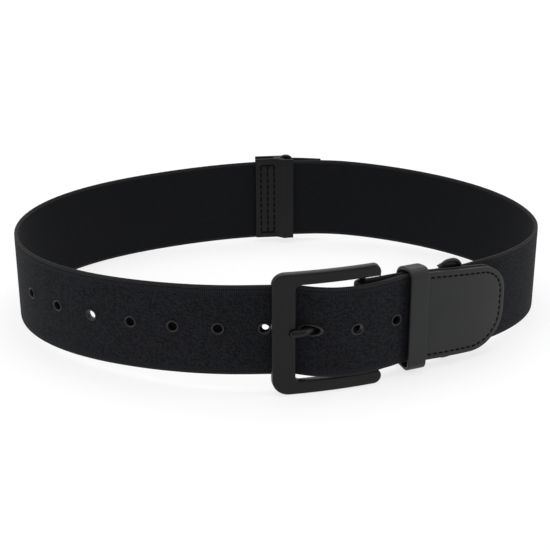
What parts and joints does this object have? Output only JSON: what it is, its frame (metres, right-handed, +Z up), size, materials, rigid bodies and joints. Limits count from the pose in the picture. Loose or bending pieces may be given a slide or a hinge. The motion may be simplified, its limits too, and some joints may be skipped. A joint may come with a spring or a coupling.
{
  "type": "elastic stretch belt",
  "caption": "Black elastic waist belt buckled into an oval loop, with a square prong buckle, punched eyelets, a leather keeper loop and tip, and a ring join at the back.",
  "frame": {"origin": "centre of the bounding box at the surface that the belt stands on", "axes": "+X to the belt's right as seen from its buckle side, +Y from the buckle to the back, +Z up"},
  "size_m": [0.2906, 0.2002, 0.0672],
  "materials": {
    "webbing": "matte fine twill elastic webbing",
    "leather": "smooth charcoal leather, satin",
    "painted_metal": "matte black paint with soft edges",
    "dark_metal": "satin dark metal",
    "eyelet": "dark satin rim"
  },
  "bodies": {
    "root": {"main_strap": "webbing", "adjust_strap": "webbing", "buckle_frame": "painted_metal", "prong": "painted_metal", "keeper_loop": "leather", "tip_front": "leather", "tip_back": "leather", "slide_adjuster": "dark_metal", "back_ring": "dark_metal", "back_tab": "leather", "eyelet_01": "eyelet", "eyelet_02": "eyelet", "eyelet_03": "eyelet", "eyelet_04": "eyelet", "eyelet_05": "eyelet", "eyelet_06": "eyelet", "eyelet_07": "eyelet", "eyelet_08": "eyelet", "eyelet_09": "eyelet", "eyelet_10": "eyelet"}
  },
  "joints": []
}
